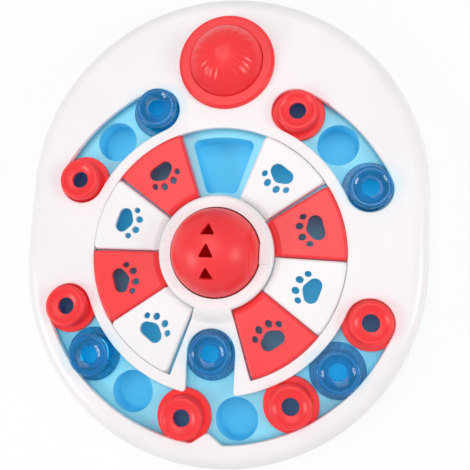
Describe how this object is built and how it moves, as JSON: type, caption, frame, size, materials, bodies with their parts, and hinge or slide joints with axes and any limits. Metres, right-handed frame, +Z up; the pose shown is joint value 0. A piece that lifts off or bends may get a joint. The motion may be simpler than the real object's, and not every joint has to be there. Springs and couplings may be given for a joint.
{
  "type": "dog slow feeder",
  "caption": "Oval puzzle feeder for dogs: sliding knobs and wedge covers hide food cups round a spinning treat ball, with a domed squeaker button.",
  "frame": {"origin": "centre of the oval outline, at floor level under the feet", "axes": "+X across the oval's width, +Y along its length towards the squeaker, +Z up; metres"},
  "size_m": [0.26, 0.304, 0.0598],
  "materials": {
    "white_shell": "white moulded plastic, satin gloss",
    "white_cover": "white moulded plastic, satin gloss",
    "light_blue_tray": "light blue moulded plastic",
    "red_plastic": "coral red moulded plastic, gloss",
    "red_soft_button": "coral red soft plastic with radial flutes",
    "blue_slider": "deep blue clear-tinted plastic, gloss",
    "bellows_rubber": "soft white vinyl",
    "foot_rubber": "grey rubber",
    "screw_steel": "zinc plated steel"
  },
  "bodies": {
    "feeder_frame": {"top_shell": "white_shell", "base_tray": "light_blue_tray", "cup_upper_right_1": "light_blue_tray", "cup_upper_right_2": "light_blue_tray", "cup_upper_right_3": "light_blue_tray", "cup_upper_left_1": "light_blue_tray", "cup_upper_left_2": "light_blue_tray", "cup_upper_left_3": "light_blue_tray", "cup_lower_1": "light_blue_tray", "cup_lower_2": "light_blue_tray", "cup_lower_3": "light_blue_tray", "cup_lower_4": "light_blue_tray", "cup_lower_5": "light_blue_tray", "cup_lower_6": "light_blue_tray", "cup_lower_7": "light_blue_tray", "cup_lower_8": "light_blue_tray", "cup_branch": "light_blue_tray", "wedge_cup_1": "light_blue_tray", "wedge_cup_2": "light_blue_tray", "wedge_cup_3": "light_blue_tray", "wedge_cup_4": "light_blue_tray", "wedge_cup_5": "light_blue_tray", "wedge_cup_6": "light_blue_tray", "wedge_cup_7": "light_blue_tray", "wedge_cup_8": "light_blue_tray", "wedge_cup_9": "light_blue_tray", "squeaker_well": "light_blue_tray", "squeaker_collar": "red_plastic", "squeaker_bellows": "bellows_rubber", "squeaker_reed": "white_shell", "foot_lower_left": "foot_rubber", "foot_lower_right": "foot_rubber", "foot_upper_left": "foot_rubber", "foot_upper_right": "foot_rubber", "shell_screws": "screw_steel"},
    "treat_ball": {"ball_shell": "red_plastic", "ball_cap": "red_plastic"},
    "squeaker_button": {"squeaker_button": "red_soft_button"},
    "cover_right_1": {"cover_right_1": "white_cover"},
    "cover_right_2": {"cover_right_2": "red_plastic"},
    "cover_right_3": {"cover_right_3": "white_cover"},
    "cover_right_4": {"cover_right_4": "red_plastic"},
    "cover_left_1": {"cover_left_1": "red_plastic"},
    "cover_left_2": {"cover_left_2": "white_cover"},
    "cover_left_3": {"cover_left_3": "red_plastic"},
    "cover_left_4": {"cover_left_4": "white_cover"},
    "slider_upper_right_blue": {"slider_upper_right_blue": "blue_slider"},
    "slider_upper_right_red": {"slider_upper_right_red": "red_plastic"},
    "slider_upper_left_blue": {"slider_upper_left_blue": "blue_slider"},
    "slider_upper_left_red": {"slider_upper_left_red": "red_plastic"},
    "slider_lower_1_red": {"slider_lower_1_red": "red_plastic"},
    "slider_lower_2_blue": {"slider_lower_2_blue": "blue_slider"},
    "slider_lower_3_red": {"slider_lower_3_red": "red_plastic"},
    "slider_lower_4_red": {"slider_lower_4_red": "red_plastic"},
    "slider_lower_5_blue": {"slider_lower_5_blue": "blue_slider"},
    "slider_lower_6_red": {"slider_lower_6_red": "red_plastic"},
    "slider_branch_blue": {"slider_branch_blue": "blue_slider"}
  },
  "joints": [
    {"name": "ball_spin", "type": "hinge", "parent": "feeder_frame", "child": "treat_ball", "pos_m": [0, -0.0193, 0.0318], "axis": [1, 0, 0], "continuous": true},
    {"name": "squeaker_press", "type": "slide", "parent": "feeder_frame", "child": "squeaker_button", "axis": [0, 0, -1], "range_m": [0, 0.007], "stiffness_N_per_m": 300, "deforming": ["squeaker_bellows"]},
    {"name": "cover_right_1_turn", "type": "hinge", "parent": "feeder_frame", "child": "cover_right_1", "pos_m": [0, -0.0193, 0], "axis": [0, 0, 1], "range_deg": [0, 36]},
    {"name": "cover_right_2_turn", "type": "hinge", "parent": "feeder_frame", "child": "cover_right_2", "pos_m": [0, -0.0193, 0], "axis": [0, 0, 1], "range_deg": [0, 36]},
    {"name": "cover_right_3_turn", "type": "hinge", "parent": "feeder_frame", "child": "cover_right_3", "pos_m": [0, -0.0193, 0], "axis": [0, 0, 1], "range_deg": [0, 36]},
    {"name": "cover_right_4_turn", "type": "hinge", "parent": "feeder_frame", "child": "cover_right_4", "pos_m": [0, -0.0193, 0], "axis": [0, 0, 1], "range_deg": [0, 36]},
    {"name": "cover_left_1_turn", "type": "hinge", "parent": "feeder_frame", "child": "cover_left_1", "pos_m": [0, -0.0193, 0], "axis": [0, 0, 1], "range_deg": [-36, 0]},
    {"name": "cover_left_2_turn", "type": "hinge", "parent": "feeder_frame", "child": "cover_left_2", "pos_m": [0, -0.0193, 0], "axis": [0, 0, 1], "range_deg": [-36, 0]},
    {"name": "cover_left_3_turn", "type": "hinge", "parent": "feeder_frame", "child": "cover_left_3", "pos_m": [0, -0.0193, 0], "axis": [0, 0, 1], "range_deg": [-36, 0]},
    {"name": "cover_left_4_turn", "type": "hinge", "parent": "feeder_frame", "child": "cover_left_4", "pos_m": [0, -0.0193, 0], "axis": [0, 0, 1], "range_deg": [-36, 0]},
    {"name": "slider_upper_right_blue_move", "type": "hinge", "parent": "feeder_frame", "child": "slider_upper_right_blue", "pos_m": [0, -0.0193, 0], "axis": [0, 0, 1], "range_deg": [0, 18.1]},
    {"name": "slider_upper_right_red_move", "type": "hinge", "parent": "feeder_frame", "child": "slider_upper_right_red", "pos_m": [0, -0.0193, 0], "axis": [0, 0, 1], "range_deg": [-18.1, 1.4]},
    {"name": "slider_upper_left_blue_move", "type": "hinge", "parent": "feeder_frame", "child": "slider_upper_left_blue", "pos_m": [0, -0.0193, 0], "axis": [0, 0, 1], "range_deg": [0, 19.5]},
    {"name": "slider_upper_left_red_move", "type": "hinge", "parent": "feeder_frame", "child": "slider_upper_left_red", "pos_m": [0, -0.0193, 0], "axis": [0, 0, 1], "range_deg": [-19.5, 0]},
    {"name": "slider_lower_2_blue_move", "type": "hinge", "parent": "feeder_frame", "child": "slider_lower_2_blue", "pos_m": [0, -0.0193, 0], "axis": [0, 0, 1], "range_deg": [0, 19.5]},
    {"name": "slider_lower_1_red_move", "type": "hinge", "parent": "feeder_frame", "child": "slider_lower_1_red", "pos_m": [0, -0.0193, 0], "axis": [0, 0, 1], "range_deg": [0, 19.5]},
    {"name": "slider_lower_4_red_move", "type": "hinge", "parent": "feeder_frame", "child": "slider_lower_4_red", "pos_m": [0, -0.0193, 0], "axis": [0, 0, -1], "range_deg": [0, 18.4]},
    {"name": "slider_lower_5_blue_move", "type": "hinge", "parent": "feeder_frame", "child": "slider_lower_5_blue", "pos_m": [0, -0.0193, 0], "axis": [0, 0, -1], "range_deg": [0, 18.4]},
    {"name": "slider_lower_6_red_move", "type": "hinge", "parent": "feeder_frame", "child": "slider_lower_6_red", "pos_m": [0, -0.0193, 0], "axis": [0, 0, -1], "range_deg": [0, 18.4]},
    {"name": "slider_branch_blue_move", "type": "slide", "parent": "feeder_frame", "child": "slider_branch_blue", "axis": [0, 1, 0], "range_m": [-0.0335, 0]},
    {"name": "slider_lower_3_red_move", "type": "hinge", "parent": "feeder_frame", "child": "slider_lower_3_red", "pos_m": [0, -0.0193, 0], "axis": [0, 0, 1], "range_deg": [-20.6, 0]}
  ],
  "couplings": [
    {"joint": "cover_right_2_turn", "follows": "cover_right_1_turn", "ratio": 1},
    {"joint": "cover_right_3_turn", "follows": "cover_right_1_turn", "ratio": 1},
    {"joint": "cover_right_4_turn", "follows": "cover_right_1_turn", "ratio": 1},
    {"joint": "cover_left_2_turn", "follows": "cover_left_1_turn", "ratio": 1},
    {"joint": "cover_left_3_turn", "follows": "cover_left_1_turn", "ratio": 1},
    {"joint": "cover_left_4_turn", "follows": "cover_left_1_turn", "ratio": 1},
    {"joint": "slider_lower_1_red_move", "follows": "slider_lower_2_blue_move", "ratio": 1},
    {"joint": "slider_lower_5_blue_move", "follows": "slider_lower_4_red_move", "ratio": 1},
    {"joint": "slider_lower_6_red_move", "follows": "slider_lower_4_red_move", "ratio": 1},
    {"joint": "slider_lower_3_red_move", "follows": "slider_branch_blue_move", "rad_per_m": 10.73}
  ]
}
